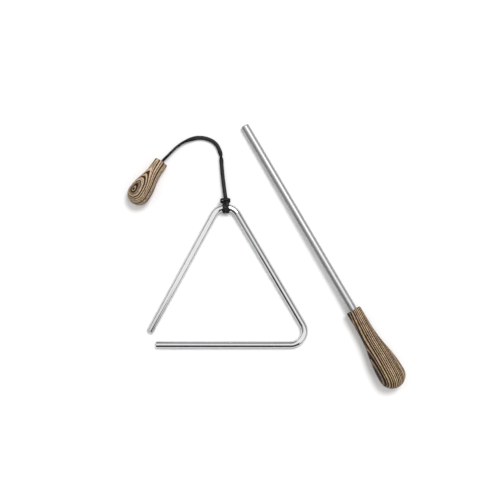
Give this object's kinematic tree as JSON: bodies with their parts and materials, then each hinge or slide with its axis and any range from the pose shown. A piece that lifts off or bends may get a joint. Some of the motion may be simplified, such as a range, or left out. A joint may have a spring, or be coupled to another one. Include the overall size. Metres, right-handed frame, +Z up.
{
  "type": "triangle instrument",
  "caption": "Bent steel triangle open at one corner, hung by a doubled leather lace from a turned wooden holder, with a steel beater in a turned wooden handle.",
  "frame": {"origin": "on the table, under the middle of the footprint of the rigid pieces as they lie", "axes": "+Z up from the table, +X along the base of the triangle towards its closed corner, +Y from the base to the apex"},
  "size_m": [0.2396, 0.2288, 0.0235],
  "materials": {
    "bar": "polished",
    "lace": "matt, flat cut",
    "holder_wood": "satin, striped",
    "rod": "satin",
    "handle_wood": "satin, striped"
  },
  "bodies": {
    "triangle": {"triangle_bar": "bar"},
    "holder": {"lace_hitch": "lace", "lace_upper_ply": "lace", "lace_lower_ply": "lace", "holder_knob": "holder_wood"},
    "beater": {"beater_rod": "rod", "beater_handle": "handle_wood"}
  },
  "joints": [
    {"name": "hitch_turn", "type": "hinge", "parent": "triangle", "child": "holder", "pos_m": [-0.03503, 0.04204, 0.00453], "axis": [1, 0, 0], "range_deg": [-90, 110]},
    {"name": "beater_lift", "type": "slide", "parent": "triangle", "child": "beater", "axis": [0, 0, 1], "range_m": [0, 0.15]}
  ]
}
